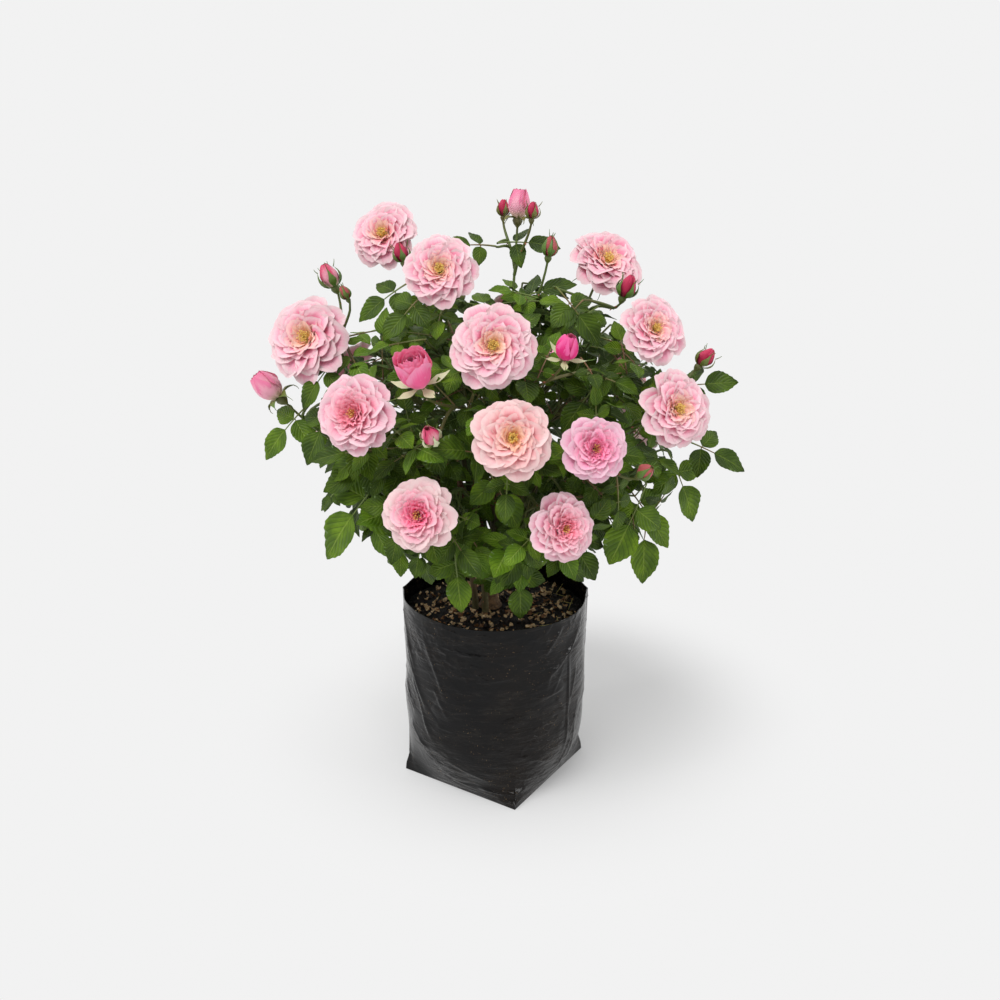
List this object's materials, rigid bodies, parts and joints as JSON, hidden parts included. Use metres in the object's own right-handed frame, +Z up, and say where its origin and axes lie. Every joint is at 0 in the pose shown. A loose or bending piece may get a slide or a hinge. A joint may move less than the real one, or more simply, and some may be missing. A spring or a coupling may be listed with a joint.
{
  "type": "rose bush",
  "caption": "Bushy garden rose in flower, with leafy green canes, open double blooms and buds, growing in potting mix in a soft black film nursery bag.",
  "frame": {"origin": "middle of the bag's flat underside", "axes": "+Z up through the stem, -Y the side that faces forward"},
  "size_m": [0.4935, 0.4178, 0.6271],
  "materials": {
    "bag_film": "thin black polythene film, softly glossy, with fine wrinkles and creases",
    "potting_mix": "dark crumbly mix with tan bark chips",
    "bark": "rough brown bark",
    "green_bark": "smooth green to reddish cane with prickles",
    "foliage": "dark green leaves with a soft gloss",
    "petals": "soft pink petals, paler at the rim and deeper in the middle",
    "stamens": "gold, powdery"
  },
  "bodies": {
    "root": {"nursery_bag": "bag_film", "potting_mix": "potting_mix", "main_stem": "bark", "limb_top": "green_bark", "limb_upper_left": "green_bark", "limb_upper_right": "green_bark", "limb_left": "green_bark", "limb_front_high": "green_bark", "limb_front": "green_bark", "limb_right_high": "green_bark", "limb_right": "green_bark", "limb_left_low": "green_bark", "limb_low_left": "green_bark", "limb_low_right": "green_bark", "limb_right_low": "green_bark", "limb_back_left_high": "green_bark", "limb_back_high": "green_bark", "limb_back_right_high": "green_bark", "limb_back_left_low": "green_bark", "limb_back_low": "green_bark", "limb_back_right_low": "green_bark", "limb_upper_back": "green_bark", "limb_front_left": "green_bark", "limb_front_right": "green_bark", "foliage_top": "foliage", "foliage_upper_left": "foliage", "foliage_upper_right": "foliage", "foliage_upper_back": "foliage", "foliage_left": "foliage", "foliage_front_left": "foliage", "foliage_front_high": "foliage", "foliage_front": "foliage", "foliage_front_right": "foliage", "foliage_right_high": "foliage", "foliage_right": "foliage", "foliage_left_low": "foliage", "foliage_low_left": "foliage", "foliage_low_right": "foliage", "foliage_right_low": "foliage", "foliage_back_left_high": "foliage", "foliage_back_high": "foliage", "foliage_back_right_high": "foliage", "foliage_back_left_low": "foliage", "foliage_back_low": "foliage", "foliage_back_right_low": "foliage"}
  },
  "joints": []
}
